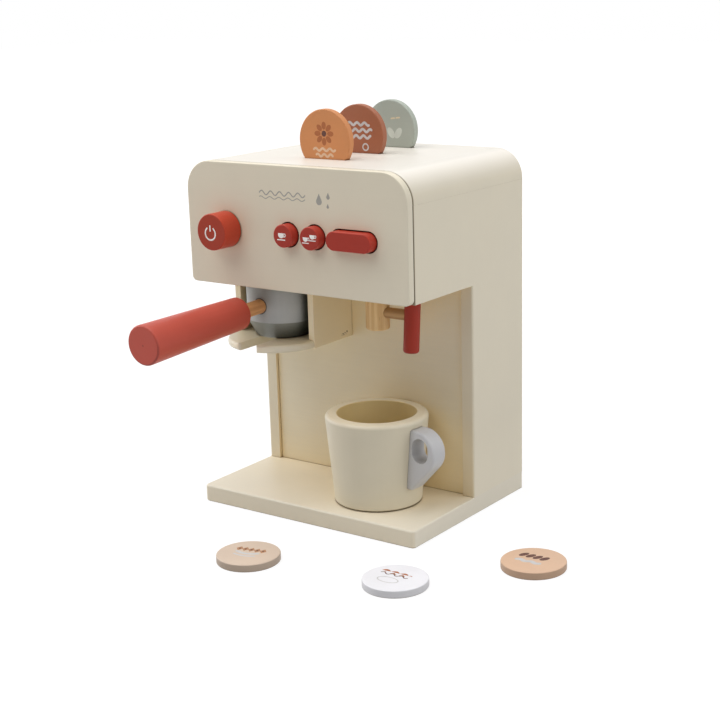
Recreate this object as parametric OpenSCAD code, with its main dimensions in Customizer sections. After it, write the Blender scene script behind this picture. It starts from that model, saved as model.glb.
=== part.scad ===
// Wooden toy coffee maker. A painted board housing carries a turning knob, three sprung
// buttons, a pull-out portafilter in a fork holder, and a hot-water spout with a swinging
// lever. A mug stands on the base, three flavour discs stand in slots in the top, and
// three more lie beside the machine.
// Millimetres. +Z is up, the front faces -Y, +X is to the right of someone facing it, and
// the origin is the centre of the base board's underside.

/* [Housing] */
// Width over the side panels
body_w = 175; // [168:1:195]
// Depth from the front panel's face to the back
body_d = 137; // [132:1:155]
// Height from the table to the top board's face
body_h = 237.5; // [230:0.5:260]
// Height of the head, from its underside to the top board's face
head_h = 80.8; // [76:0.2:92]
// Distance that the head reaches forward of the column's front edges
head_reach = 73; // [70:0.5:80]
// Thickness of the base board
base_t = 12; // [9:0.5:18]
// Rounding of the base board's edges, except under the side panels and the back
base_edge_r = 1.5; // [0.5:0.1:2.5]
// Radius of the base board's two front corners
base_corner_r = 3; // [2.6:0.1:6]
// Radius of its two rear corners, which lie flush with the panels
base_rear_corner_r = 0.4; // [0.2:0.1:2]
// Rounding of the outer front edges of the side panels below the head
column_edge_r = 1.5; // [0.5:0.1:3]
// Thickness of the side panels, corner mouldings, top board and head floor
panel_t = 9; // [7:0.5:11]
// Outer radius of the head's two long top edges
corner_r = 19; // [14:0.5:24]
// Straight length of each corner moulding beyond its arc
moulding_leg = 1; // [0.5:0.5:8]
// Thickness of the splash panel, back panel and spring board
thin_t = 6; // [4:0.5:8]
// Distance that the splash panel lies behind the column's front edges
splash_recess = 2.5; // [1:0.5:6]

/* [Front panel] */
// Thickness of the front panel
front_t = 6; // [5:0.5:8]
// Rounding of the front panel's front edge
front_edge_r = 0.8; // [0.5:0.1:3]
// Rounding of its rear edge, which leaves a groove along the housing
front_rear_edge_r = 1; // [0.3:0.1:1.2]
// Radius of the front panel's lower corners
front_low_corner_r = 3.6; // [3.4:0.2:8]
// Height of the knob's and buttons' centres above the head's underside
control_up = 37.3; // [30:0.1:42]

/* [Knob] */
// Distance of the knob's axis from the front panel's left edge
knob_in = 33.1; // [28:0.1:40]
// Diameter of the knob
knob_d = 23.8; // [20:0.2:30]
// Length of the knob
knob_l = 15.7; // [14:0.1:24]
// Rounding of the knob's rims
knob_edge_r = 0.8; // [0.4:0.1:2.5]
// Gap between the knob and the front panel
knob_gap = 0.4; // [0.3:0.1:1]
// Diameter of the knob's dowel
knob_dowel_d = 8; // [6:0.5:10]
// Depth of the dowel in the knob
knob_dowel_depth = 10; // [8:0.5:12]
// Diameter of the collar that holds the knob's dowel behind the panel
knob_collar_d = 16; // [14:0.5:22]
// Thickness of the collar
knob_collar_t = 4; // [3:0.5:6]

/* [Buttons] */
// Distance of the long button's centre from the front panel's right edge
long_in = 40.2; // [34:0.1:42]
// Length of the long button
long_l = 34.2; // [30:0.2:37]
// Height of the long button
long_h = 12.1; // [10:0.1:14]
// Diameter of the two round buttons
button_d = 14.8; // [12:0.2:17]
// Space between the long button's hole and the two-cup button's
long_space = 3.5; // [3:0.1:6]
// Space between the holes of the two round buttons
button_space = 4.4; // [3:0.1:8]
// Distance that the buttons stand out of the front panel
button_out = 6.6; // [5:0.1:10]
// Rounding of the buttons' front rims
button_edge_r = 0.8; // [0.4:0.1:2]
// Gap between each button and its hole
button_gap = 0.9; // [0.5:0.1:1.2]
// Distance that each button's flange laps behind the front panel
flange_lap = 1.1; // [0.8:0.05:1.3]
// Thickness of the flanges
flange_t = 2.5; // [1.5:0.1:4]
// Distance that the buttons can be pressed
button_travel = 4; // [2:0.5:4.5]
// Diameter of the peg that centres each spring
peg_d = 6; // [4:0.2:7]
// Length of the peg, whose end stops the button on the spring board
peg_l = 12; // [9:0.5:15]

/* [Button springs] */
// Diameter of the spring wire
wire_d = 0.8; // [0.6:0.1:1]
// Gap between each peg and the coils round it
coil_gap = 0.8; // [0.4:0.1:1]
// Number of turns
coil_turns = 5; // [4:1:7]
// Depth of the pockets that seat the springs in the spring board
pocket_depth = 2; // [1:0.5:3]
// Gap between the coils and the side of their pocket
pocket_gap = 0.6; // [0.3:0.1:1]
// Distance from the spring board's top edge to the level of the mouldings' lower edges
spring_board_down = 2; // [1:0.5:10]

/* [Portafilter holder] */
// Width over the holder's two walls
holder_w = 67; // [62:0.5:70]
// Thickness of the holder's walls
holder_wall_t = 4.5; // [4:0.5:6]
// Distance of the walls' front edges behind the front panel's face
holder_wall_in = 32.6; // [28:0.2:36]
// Distance of the fork plate's nose centre behind the front panel's face
nose_in = 35.2; // [34:0.2:40]
// Distance of the fork plate's underside below the head
holder_drop = 45; // [42:0.2:46]
// Thickness of the fork plate
fork_t = 5.2; // [4:0.2:7]
// Width of the slot in the fork plate
fork_slot_w = 13; // [10:0.5:16]
// Rounding of the fork plate's nose, above and below
fork_edge_r = 1.8; // [0.5:0.1:1.9]
// Radius of the two corners at the slot's mouth
fork_mouth_r = 2.5; // [1:0.1:5]
// Diameter of the brads that pin the walls to the fork plate
brad_d = 1.4; // [1:0.1:2]
// Length of the brads
brad_l = 14; // [10:1:20]
// Distance of the brads in front of the splash panel
brad_in = 6; // [4:0.5:12]
// Depth of the brads below the fork plate's upper face
brad_down = 1.2; // [1.2:0.1:2.8]
// Distance that the brads are set below the walls' faces
brad_sink = 0.5; // [0.2:0.1:1]

/* [Portafilter] */
// Distance of the cup's axis behind the front panel's face
cup_in = 42; // [38:0.2:46]
// Diameter of the cup
cup_d = 48.4; // [44:0.1:49]
// Diameter of the cup's foot
cup_foot_d = 37; // [26:0.5:38]
// Height of the cone below the cup's straight wall
cup_cone_h = 11.4; // [8:0.2:14]
// Gap between the cup and the head above it
cup_head_gap = 1.5; // [0.8:0.1:3]
// Thickness of the wall round the hollow in the cup's top
cup_wall_t = 4; // [2.5:0.5:7]
// Depth of the hollow
cup_hollow_depth = 8; // [4:0.5:9]
// Rounding of the cup's rims
cup_edge_r = 0.8; // [0.3:0.1:1.5]
// Diameter of the wooden dowel between the cup and the grip
grip_dowel_d = 9.6; // [8:0.2:10]
// Depth of the dowel in the cup
grip_dowel_in_cup = 12; // [8:0.5:13]
// Depth of the dowel in the grip
grip_dowel_in_grip = 20; // [12:1:30]
// Length of dowel that shows between the cup and the grip
grip_dowel_show = 21.6; // [17:0.1:26]
// Distance of the dowel's axis below the cup's rim, at the cup's axis
grip_down = 14.8; // [14.4:0.1:20]
// Angle by which the grip droops towards its free end
grip_droop = 1.4; // [0:0.1:3]
// Length of the grip
grip_l = 90.3; // [70:0.5:110]
// Diameter of the grip at its free end
grip_front_d = 25.8; // [22:0.1:30]
// Diameter of the grip next to the dowel
grip_rear_d = 21.9; // [18:0.1:26]
// Rounding of the grip's rims
grip_edge_r = 1.5; // [0.5:0.1:3]

/* [Spout and lever] */
// Distance of the spout's axis in front of the splash panel
spout_front = 34.5; // [28:0.5:42]
// Diameter of the spout
spout_d = 15.8; // [13:0.1:18]
// Length of the spout below the head
spout_l = 27.8; // [24:0.1:34]
// Rounding of the spout's lower rim
spout_edge_r = 1.4; // [0.4:0.1:2.5]
// Distance of the lever's axis from the body's right side
lever_in = 25.7; // [20:0.1:32]
// Distance from the spout's axis to the lever's
lever_reach = 27; // [22:0.5:34]
// Diameter of the lever
lever_d = 10.5; // [9.4:0.1:13]
// Length of the lever below its pin
lever_below = 24.2; // [20:0.2:30]
// Length of the lever above its pin
lever_above = 11.4; // [8:0.2:11.6]
// Rounding of the lever's ends
lever_edge_r = 1.9; // [0.5:0.1:3]
// Angle by which the lever hangs forward at rest
lever_tilt = 5; // [0:0.5:10]
// Diameter of the lever's pin
lever_pin_d = 7.2; // [6:0.1:7.4]
// Distance of the pin's axis below the head
lever_pin_drop = 16.2; // [15.5:0.1:18]

/* [Mug] */
// Distance of the mug's axis to the left of the spout's
mug_left = 2.6; // [0:0.2:8]
// Gap between the mug and the splash panel
mug_back_gap = 0.5; // [0.4:0.1:8]
// Height of the mug
mug_h = 60.2; // [50:0.2:70]
// Diameter of the mug at its lip
mug_top_d = 68.8; // [62:0.2:70]
// Diameter of the mug at its foot
mug_foot_d = 58.8; // [52:0.2:62]
// Thickness of the mug's wall at the lip
mug_wall_top_t = 7.9; // [5:0.1:12]
// Thickness of the mug's wall at the foot
mug_wall_low_t = 6.4; // [5:0.1:12]
// Thickness of the mug's floor
mug_floor_t = 10.2; // [6:0.1:14]
// Rounding of the mug's lip
mug_lip_r = 3; // [1:0.1:3.5]
// Rounding of the mug's rim where it meets the bore
mug_bore_lip_r = 0.8; // [0.5:0.1:2.4]
// Rounding of the mug's foot
mug_foot_r = 1.5; // [0.5:0.1:4]
// Rounding of the bore's floor
mug_bore_floor_r = 7; // [2:0.5:10]

/* [Mug handle] */
// Angle by which the handle points forward of straight right
ear_turn = 5; // [0:1:15]
// Thickness of the handle
ear_t = 13; // [8:0.5:14]
// Rounding of the handle's outer edges
ear_edge_r = 1.6; // [0.5:0.1:3]
// Radius of the handle's round outer part
ear_r = 15; // [14:0.2:16]
// Distance of the round part's centre outside the mug's wall
ear_proud = 4.8; // [3:0.1:6]
// Distance of the round part's centre below the mug's lip
ear_down = 20.5; // [18:0.1:26]
// Slope of the handle's straight lower flank
ear_flank = 47; // [44:1:50]
// Height of the handle's lower end above the mug's foot
ear_low = 13.4; // [11:0.2:15]
// Width of the finger hole
finger_w = 13; // [11:0.2:13.6]
// Height of the finger hole
finger_h = 16.8; // [15:0.2:17.4]
// Distance of the finger hole's centre beyond the round part's
finger_beyond = 3.5; // [3:0.1:4.5]
// Height of the finger hole's centre above the round part's
finger_above = 2; // [0:0.1:3]

/* [Flavour discs] */
// Diameter of the discs
disc_d = 40.4; // [36:0.2:44]
// Thickness of the discs
disc_t = 5; // [4.4:0.1:6]
// Rounding of the discs' rims
disc_edge_r = 0.8; // [0.2:0.1:1.2]
// Depth to which a disc stands in its slot
disc_sink = 8.5; // [5:0.1:9]
// Space that a slot leaves beside a disc
slot_play = 0.4; // [0.3:0.1:1]
// Distance of the slots' middle to the left of the housing's middle
slot_left = 1; // [0:0.5:10]
// Distance of the first slot behind the front panel's face
first_slot_in = 39.5; // [36:0.5:44]
// Distance from slot to slot
slot_pitch = 37; // [30:0.5:38]
// Distance of the beige disc's centre to the right of the middle
beige_right = 8.9; // [-30:0.1:30]
// Distance of the beige disc's centre in front of the base
beige_front = 68.6; // [40:0.1:100]
// Distance of the white disc's centre to the right of the middle
white_right = 109.1; // [60:0.1:130]
// Distance of the white disc's centre in front of the base
white_front = 52.5; // [40:0.1:100]
// Distance of the peach disc's centre to the right of the base
peach_beside = 78.1; // [40:0.1:100]
// Distance of the peach disc's centre behind the base's front edge
peach_in = 14.1; // [0:0.1:60]

/* [Base screws] */
// Diameter of the screws' shanks
screw_d = 3.2; // [2.6:0.1:3.6]
// Diameter of the screws' heads
screw_head_d = 6; // [5:0.1:6.4]
// Length of the screws
screw_l = 34; // [25:1:45]
// Distance between the two screws of one side panel
screw_pitch = 36; // [30:1:44]
// Distance that the heads are set below the base's underside
screw_sink = 0.4; // [0.2:0.1:1]

/* [Clearances] */
// Radial gap of a glued dowel or a driven fastener in its hole
glue_gap = 0.05; // [0.02:0.01:0.1]
// Radial gap of a shaft that turns in its hole
run_gap = 0.08; // [0.03:0.01:0.1]
// Gap under or behind a piece that rests loose on another
rest_gap = 0.3; // [0.1:0.05:0.4]

/* [Hidden] */

cream = [0.91, 0.88, 0.8];
red = [0.72, 0.25, 0.19];
pine = [0.82, 0.62, 0.38];
cup_grey = [0.55, 0.55, 0.55];
light_grey = [0.72, 0.72, 0.74];
steel = [0.6, 0.61, 0.63];

fine = 96;
hull_fine = 48;
past = 1;
rim_steps = 6;

front_y = -body_d / 2;
back_y = body_d / 2;
head_z = body_h - head_h;
panel_back_y = front_y + front_t;
column_y = front_y + head_reach;
splash_y = column_y + splash_recess;
half_inner = body_w / 2 - panel_t;
inner_r = corner_r - panel_t;
arc_x = body_w / 2 - corner_r;
arc_z = body_h - corner_r;
moulding_w = corner_r + moulding_leg;
seam_z = body_h - moulding_w;
floor_top_z = head_z + panel_t;
control_z = head_z + control_up;

knob_x = -body_w / 2 + knob_in;
knob_bore_r = knob_dowel_d / 2 + glue_gap;
knob_collar_y = panel_back_y + rest_gap;
knob_dowel_past = 2;

button_hole_r = button_d / 2 + button_gap;
long_half = (long_l - long_h) / 2;
long_hole_r = long_h / 2 + button_gap;
long_x = body_w / 2 - long_in;
two_cup_x = long_x - long_half - long_hole_r - long_space - button_hole_r;
one_cup_x = two_cup_x - 2 * button_hole_r - button_space;
long_spring_x = [long_x - long_half, long_x + long_half];
flange_y = panel_back_y + rest_gap;
flange_back_y = flange_y + flange_t;
pocket_floor_y = flange_back_y + peg_l + button_travel + rest_gap;
spring_board_y = pocket_floor_y - pocket_depth;
spring_end_gap = 0.1;
spring_y = flange_back_y + spring_end_gap;
spring_l = pocket_floor_y - spring_end_gap - spring_y;
coil_d = peg_d + wire_d + 2 * coil_gap;
coil_steps = 12;
wire_sides = 6;
pocket_r = (coil_d + wire_d) / 2 + pocket_gap;

holder_x = -half_inner + holder_w / 2;
holder_wall_y = front_y + holder_wall_in;
nose_y = front_y + nose_in;
fork_z = head_z - holder_drop;
fork_top_z = fork_z + fork_t;
fork_half = holder_w / 2;
// The fork plate's tongue starts inside its prongs, so that the two are one solid
tongue_bite = 1;
fork_steps = 24;
holder_inner_half = holder_w / 2 - holder_wall_t;
brad_y = splash_y - brad_in;
brad_z = fork_top_z - brad_down;

cup_y = front_y + cup_in;
cup_z = fork_top_z + rest_gap;
cup_h = head_z - cup_head_gap - cup_z;
grip_z = cup_z + cup_h - grip_down;
grip_start = cup_d / 2 + grip_dowel_show;
grip_dowel_start = cup_d / 2 - grip_dowel_in_cup;
grip_dowel_l = grip_start + grip_dowel_in_grip - grip_dowel_start;

lever_x = body_w / 2 - lever_in;
spout_x = lever_x - lever_reach;
spout_y = splash_y - spout_front;
spout_z = head_z - spout_l;
lever_pin_z = head_z - lever_pin_drop;
lever_pin_r = lever_pin_d / 2;
lever_pin_depth = 1.5;
lever_pin_left_x = spout_x - spout_d / 2 + 1;

mug_x = spout_x - mug_left;
mug_y = splash_y - mug_back_gap - mug_top_d / 2;
mug_z = base_t + rest_gap;
lip_r = min(mug_lip_r, mug_wall_top_t / 2);
ear_up = mug_h - ear_down;
ear_out = (mug_foot_d + (mug_top_d - mug_foot_d) * ear_up / mug_h) / 2 + ear_proud;

disc_r = disc_d / 2;
slot_w = disc_t + slot_play;
slot_x = -slot_left;
slotted_disc_z = body_h + disc_r - disc_sink;
slot_l = 2 * sqrt(disc_r * disc_r - (disc_r - disc_sink) * (disc_r - disc_sink)) + slot_play;

screw_x = body_w / 2 - panel_t / 2;
screw_mid_y = (column_y + back_y) / 2;
screw_places = [for (x = [-screw_x, screw_x], dy = [-screw_pitch, screw_pitch]) [x, screw_mid_y + dy / 2]];
screw_head_h = (screw_head_d - screw_d) / 2;
screw_tip_h = 4;

// Points of an arc about a centre, from one angle to another
function arc_points(centre, r, from, to, steps = rim_steps) = [
    for (i = [0:steps])
        let (a = from + (to - from) * i / steps)
            centre + r * [cos(a), sin(a)]
];

// Half section of a turned piece whose rims are rounded, standing on its first end
function turned_points(r0, r1, l, e0, e1) = concat(
    [[0, 0]],
    arc_points([r0 - e0, e0], e0, -90, 0),
    arc_points([r1 - e1, l - e1], e1, 0, 90),
    [[0, l]]
);

// A turned piece along +Z: end radii, length and the rounding of each end
module turned(r0, r1, l, e0, e1, facets = fine) {
    rotate_extrude($fn = facets)
        polygon(turned_points(r0, r1, l, e0, e1));
}

// Puts a piece made along +Z so that it points to the front, with its first end at y
module facing_front(x, y, z) {
    translate([x, y, z])
        rotate([90, 0, 0])
            children();
}

// Puts a piece made along +Z so that it points to the back, with its first end at y
module facing_back(x, y, z) {
    translate([x, y, z])
        rotate([-90, 0, 0])
            children();
}

// Puts a piece made along +Z so that it points to the right, with its first end at x
module facing_right(x, y, z) {
    translate([x, y, z])
        rotate([0, 90, 0])
            children();
}

// Holes of the base screws, drilled up through the base into the side panels
module screw_holes() {
    for (p = screw_places)
        translate([p[0], p[1], -past]) {
            cylinder(r = screw_d / 2 + glue_gap, h = screw_l + 2 * past, $fn = fine);
            cylinder(r = screw_head_d / 2 + glue_gap, h = past + screw_sink, $fn = fine);
            translate([0, 0, past + screw_sink])
                cylinder(
                    r1 = screw_head_d / 2 + glue_gap,
                    r2 = screw_d / 2 + glue_gap,
                    h = screw_head_h,
                    $fn = fine
                );
        }
}

// The whole base board, with the given rounding of its upper edges
module base_slab(upper_edge_r) {
    hull()
        for (x = [-1, 1]) {
            translate([x * (body_w / 2 - base_corner_r), front_y + base_corner_r, 0])
                turned(base_corner_r, base_corner_r, base_t, base_edge_r, upper_edge_r, hull_fine);
            translate([x * (body_w / 2 - base_rear_corner_r), back_y - base_rear_corner_r, 0])
                cylinder(r = base_rear_corner_r, h = base_t, $fn = hull_fine);
        }
}

// The base board, whose upper edges stay square where panels stand on them
module base_board() {
    color(cream)
        difference() {
            union() {
                base_slab(base_edge_r);
                intersection() {
                    base_slab(0);
                    translate([-body_w, column_y, 0])
                        cube([2 * body_w, body_d, base_t]);
                }
            }
            screw_holes();
        }
}

// The right side panel from above, with its outer front edge rounded
module column_plan() {
    polygon(concat(
        [[half_inner, back_y], [half_inner, column_y]],
        arc_points([body_w / 2 - column_edge_r, column_y + column_edge_r], column_edge_r, -90, 0),
        [[body_w / 2, back_y]]
    ));
}

module right_side_panel() {
    color(cream)
        difference() {
            union() {
                translate([0, 0, base_t])
                    linear_extrude(height = head_z - base_t)
                        column_plan();
                translate([half_inner, panel_back_y, head_z])
                    cube([panel_t, body_d - front_t, seam_z - head_z]);
            }
            screw_holes();
        }
}

module left_side_panel() {
    mirror([1, 0, 0])
        right_side_panel();
}

// Section of the right corner moulding, drawn about the centre of its arcs
module moulding_section() {
    intersection() {
        difference() {
            circle(r = corner_r, $fn = fine);
            circle(r = inner_r, $fn = fine);
        }
        square(corner_r + past);
    }
    translate([inner_r, -moulding_leg])
        square([panel_t, moulding_leg]);
    translate([-moulding_leg, inner_r])
        square([moulding_leg, panel_t]);
}

module right_corner_moulding() {
    color(cream)
        facing_front(arc_x, back_y, arc_z)
            linear_extrude(height = body_d - front_t)
                moulding_section();
}

module left_corner_moulding() {
    color(cream)
        mirror([1, 0, 0])
            right_corner_moulding();
}

module top_board() {
    half_w = body_w / 2 - moulding_w;
    color(cream)
        difference() {
            translate([-half_w, panel_back_y, body_h - panel_t])
                cube([2 * half_w, body_d - front_t, panel_t]);
            for (i = [0:2])
                translate([
                    slot_x - slot_l / 2,
                    front_y + first_slot_in + i * slot_pitch - slot_w / 2,
                    body_h - panel_t - past
                ])
                    cube([slot_l, slot_w, panel_t + 2 * past]);
        }
}

module front_panel() {
    color(cream)
        difference() {
            facing_front(0, panel_back_y, 0)
                hull() {
                    for (x = [-arc_x, arc_x])
                        translate([x, arc_z, 0])
                            turned(
                                corner_r, corner_r, front_t, front_rear_edge_r, front_edge_r,
                                hull_fine
                            );
                    for (x = [-1, 1])
                        translate([
                            x * (body_w / 2 - front_low_corner_r),
                            head_z + front_low_corner_r,
                            0
                        ])
                            turned(
                                front_low_corner_r, front_low_corner_r, front_t,
                                front_rear_edge_r, front_edge_r, hull_fine
                            );
                }
            facing_front(knob_x, panel_back_y + past, control_z)
                cylinder(r = knob_dowel_d / 2 + run_gap, h = front_t + 2 * past, $fn = fine);
            for (x = [one_cup_x, two_cup_x])
                facing_front(x, panel_back_y + past, control_z)
                    cylinder(r = button_hole_r, h = front_t + 2 * past, $fn = fine);
            facing_front(long_x, panel_back_y + past, control_z)
                linear_extrude(height = front_t + 2 * past)
                    stadium(long_half, long_hole_r);
        }
}

// A long round-ended outline: half the distance between its end centres, and its end radius
module stadium(half_l, r) {
    for (x = [-half_l, half_l])
        translate([x, 0])
            circle(r = r, $fn = fine);
    translate([-half_l, -r])
        square([2 * half_l, 2 * r]);
}

module head_floor_board() {
    color(cream)
        translate([-half_inner, panel_back_y, head_z])
            cube([2 * half_inner, splash_y - panel_back_y, panel_t]);
}

module splash_panel() {
    color(cream)
        translate([-half_inner, splash_y, base_t])
            cube([2 * half_inner, thin_t, floor_top_z - base_t]);
}

module back_panel() {
    corner_gap = 2 * glue_gap;
    color(cream)
        facing_front(0, back_y, 0)
            linear_extrude(height = thin_t) {
                translate([-half_inner, base_t])
                    square([2 * half_inner, seam_z - base_t]);
                translate([-arc_x, seam_z])
                    square([2 * arc_x, body_h - panel_t - seam_z]);
                for (x = [-arc_x, arc_x])
                    translate([x, arc_z])
                        circle(r = inner_r - corner_gap, $fn = fine);
            }
}

module spring_board() {
    top_z = seam_z - spring_board_down;
    color(pine)
        difference() {
            translate([-half_inner, spring_board_y, floor_top_z])
                cube([2 * half_inner, thin_t, top_z - floor_top_z]);
            for (x = concat([one_cup_x, two_cup_x], long_spring_x))
                facing_back(x, spring_board_y - past, control_z)
                    cylinder(r = pocket_r, h = pocket_depth + past, $fn = fine);
        }
}

module base_screws() {
    color(steel)
        for (p = screw_places)
            translate([p[0], p[1], screw_sink])
                rotate_extrude($fn = fine)
                    polygon([
                        [0, 0],
                        [screw_head_d / 2, 0],
                        [screw_d / 2, screw_head_h],
                        [screw_d / 2, screw_l - screw_tip_h],
                        [0, screw_l]
                    ]);
}

module knob() {
    color(red)
        difference() {
            facing_front(knob_x, front_y - knob_gap, control_z)
                turned(knob_d / 2, knob_d / 2, knob_l, knob_edge_r / 2, knob_edge_r);
            facing_front(knob_x, front_y + past, control_z)
                cylinder(r = knob_bore_r, h = knob_gap + knob_dowel_depth + past, $fn = fine);
        }
}

module knob_dowel() {
    start_y = knob_collar_y + knob_collar_t + knob_dowel_past;
    end_y = front_y - knob_gap - knob_dowel_depth + glue_gap;
    color(pine)
        facing_front(knob_x, start_y, control_z)
            cylinder(d = knob_dowel_d, h = start_y - end_y, $fn = fine);
}

module knob_collar() {
    color(pine)
        difference() {
            facing_back(knob_x, knob_collar_y, control_z)
                cylinder(d = knob_collar_d, h = knob_collar_t, $fn = fine);
            facing_back(knob_x, knob_collar_y - past, control_z)
                cylinder(r = knob_bore_r, h = knob_collar_t + 2 * past, $fn = fine);
        }
}

// A round button: its cap, the flange behind the front panel, and the peg for its spring
module round_button(x) {
    color(red) {
        facing_front(x, flange_y, control_z)
            turned(
                button_d / 2, button_d / 2, flange_y - front_y + button_out, 0, button_edge_r
            );
        facing_back(x, flange_y, control_z)
            cylinder(r = button_hole_r + flange_lap, h = flange_t, $fn = fine);
        facing_back(x, flange_back_y, control_z)
            cylinder(d = peg_d, h = peg_l, $fn = fine);
    }
}

module one_cup_button() {
    round_button(one_cup_x);
}

module two_cup_button() {
    round_button(two_cup_x);
}

module long_button() {
    color(red) {
        hull()
            for (x = long_spring_x)
                facing_front(x, flange_y, control_z)
                    turned(
                        long_h / 2, long_h / 2, flange_y - front_y + button_out, 0,
                        button_edge_r, hull_fine
                    );
        facing_front(long_x, flange_back_y, control_z)
            linear_extrude(height = flange_t)
                stadium(long_half, long_hole_r + flange_lap);
        for (x = long_spring_x)
            facing_back(x, flange_back_y, control_z)
                cylinder(d = peg_d, h = peg_l, $fn = fine);
    }
}

// A coil spring along +Z: rings of points about the wire, swept up the helix
module coil_spring() {
    rings = round(coil_turns * coil_steps);
    rise = (spring_l - wire_d) / rings;
    points = [
        for (i = [0:rings], k = [0:wire_sides - 1])
            let (turn = i * 360 / coil_steps, side = k * 360 / wire_sides)
                let (r = coil_d / 2 + wire_d / 2 * cos(side))
                    [r * cos(turn), r * sin(turn), wire_d / 2 + i * rise + wire_d / 2 * sin(side)]
    ];
    walls = [
        for (i = [0:rings - 1], k = [0:wire_sides - 1], half = [0, 1])
            let (a = i * wire_sides + k, b = i * wire_sides + (k + 1) % wire_sides)
                half == 0 ? [a, a + wire_sides, b + wire_sides] : [a, b + wire_sides, b]
    ];
    first_cap = [[for (k = [0:wire_sides - 1]) k]];
    last_cap = [[for (k = [wire_sides - 1:-1:0]) rings * wire_sides + k]];
    polyhedron(points = points, faces = concat(walls, first_cap, last_cap));
}

module button_spring(x) {
    color(steel)
        facing_back(x, spring_y, control_z)
            coil_spring();
}

module one_cup_spring() {
    button_spring(one_cup_x);
}

module two_cup_spring() {
    button_spring(two_cup_x);
}

module long_button_springs() {
    for (x = long_spring_x)
        button_spring(x);
}

// The hole of a brad, driven through a wall of the holder into the fork plate's edge
module brad_holes() {
    for (side = [-1, 1])
        translate([holder_x + side * (holder_w / 2 - brad_l / 2), brad_y, brad_z])
            rotate([0, 90, 0])
                cylinder(d = brad_d + 2 * glue_gap, h = brad_l + 2 * past, center = true, $fn = fine);
}

// One wall of the holder, from its outer face inwards
module holder_wall(x) {
    color(cream)
        difference() {
            translate([x, holder_wall_y, fork_z])
                cube([holder_wall_t, splash_y - holder_wall_y, head_z - fork_z]);
            brad_holes();
        }
}

module holder_left_wall() {
    holder_wall(holder_x - holder_w / 2);
}

module holder_right_wall() {
    holder_wall(holder_x + holder_inner_half);
}

// The corner between the slot's side and the round nose, as points about the nose's centre
function fork_mouth_points() =
    let (
        x = fork_slot_w / 2 + fork_mouth_r,
        reach = fork_half - fork_mouth_r,
        y = -sqrt(reach * reach - x * x)
    )
        arc_points([x, y], fork_mouth_r, 180, 360 + atan2(y, x));

// The fork plate's right prong from above, as far back as the walls' front edges
module prong_outline() {
    end_y = holder_wall_y - glue_gap - nose_y;
    end_a = asin(end_y / fork_half);
    mouth = fork_mouth_points();
    last = mouth[len(mouth) - 1];
    translate([0, nose_y])
        polygon(concat(
            [[fork_slot_w / 2, end_y]],
            mouth,
            arc_points([0, 0], fork_half, atan2(last[1], last[0]), end_a, fork_steps)
        ));
}

// The fork plate: two prongs with a round nose, and a tongue that reaches back between the walls
module holder_fork_plate() {
    tongue_half = holder_inner_half - glue_gap;
    tongue_y = holder_wall_y - glue_gap;
    color(cream)
        translate([holder_x, 0, 0])
            difference() {
                translate([0, 0, fork_z]) {
                    intersection() {
                        translate([0, nose_y, 0])
                            turned(fork_half, fork_half, fork_t, fork_edge_r, fork_edge_r);
                        linear_extrude(height = fork_t)
                            for (side = [0, 1])
                                mirror([side, 0])
                                    prong_outline();
                    }
                    translate([-tongue_half, tongue_y - tongue_bite, 0])
                        cube([2 * tongue_half, splash_y - tongue_y + tongue_bite, fork_t]);
                }
                translate([0, cup_y, fork_z - past])
                    cylinder(d = fork_slot_w, h = fork_t + 2 * past, $fn = fine);
                translate([-fork_slot_w / 2, tongue_y - past, fork_z - past])
                    cube([fork_slot_w, cup_y - tongue_y + past, fork_t + 2 * past]);
                translate([-holder_x, 0, 0])
                    brad_holes();
            }
}

module holder_brads() {
    color(steel)
        for (side = [-1, 1])
            translate([
                holder_x + side * (holder_w / 2 - brad_sink - brad_l / 2),
                brad_y,
                brad_z
            ])
                rotate([0, 90, 0])
                    cylinder(d = brad_d, h = brad_l, center = true, $fn = fine);
}

// Puts a piece made along +Z on the grip's drooping axis, at a distance from the cup's axis
module on_grip_axis(distance) {
    translate([holder_x, cup_y, grip_z])
        rotate([90 + grip_droop, 0, 0])
            translate([0, 0, distance])
                children();
}

module portafilter_cup() {
    foot_r = cup_foot_d / 2;
    cup_r = cup_d / 2;
    hollow_r = cup_r - cup_wall_t;
    color(cup_grey)
        difference() {
            translate([holder_x, cup_y, cup_z])
                rotate_extrude($fn = fine)
                    polygon(concat(
                        [[0, 0]],
                        arc_points([foot_r - cup_edge_r, cup_edge_r], cup_edge_r, -90, -45),
                        [[cup_r, cup_cone_h]],
                        arc_points([cup_r - cup_edge_r, cup_h - cup_edge_r], cup_edge_r, 0, 90),
                        [
                            [hollow_r, cup_h],
                            [hollow_r, cup_h - cup_hollow_depth],
                            [0, cup_h - cup_hollow_depth]
                        ]
                    ));
            on_grip_axis(grip_dowel_start - glue_gap)
                cylinder(d = grip_dowel_d + 2 * glue_gap, h = cup_d, $fn = fine);
        }
}

module grip_dowel() {
    color(pine)
        on_grip_axis(grip_dowel_start)
            cylinder(d = grip_dowel_d, h = grip_dowel_l, $fn = fine);
}

module portafilter_grip() {
    color(red)
        difference() {
            on_grip_axis(grip_start)
                turned(grip_rear_d / 2, grip_front_d / 2, grip_l, grip_edge_r, grip_edge_r);
            on_grip_axis(grip_start - past)
                cylinder(
                    d = grip_dowel_d + 2 * glue_gap,
                    h = grip_dowel_in_grip + glue_gap + past,
                    $fn = fine
                );
        }
}

module hot_water_spout() {
    color(pine)
        difference() {
            translate([spout_x, spout_y, spout_z])
                turned(spout_d / 2, spout_d / 2, spout_l, spout_edge_r, 0);
            facing_right(spout_x - spout_d, spout_y, lever_pin_z)
                cylinder(r = lever_pin_r + run_gap, h = 2 * spout_d, $fn = fine);
        }
}

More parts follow.
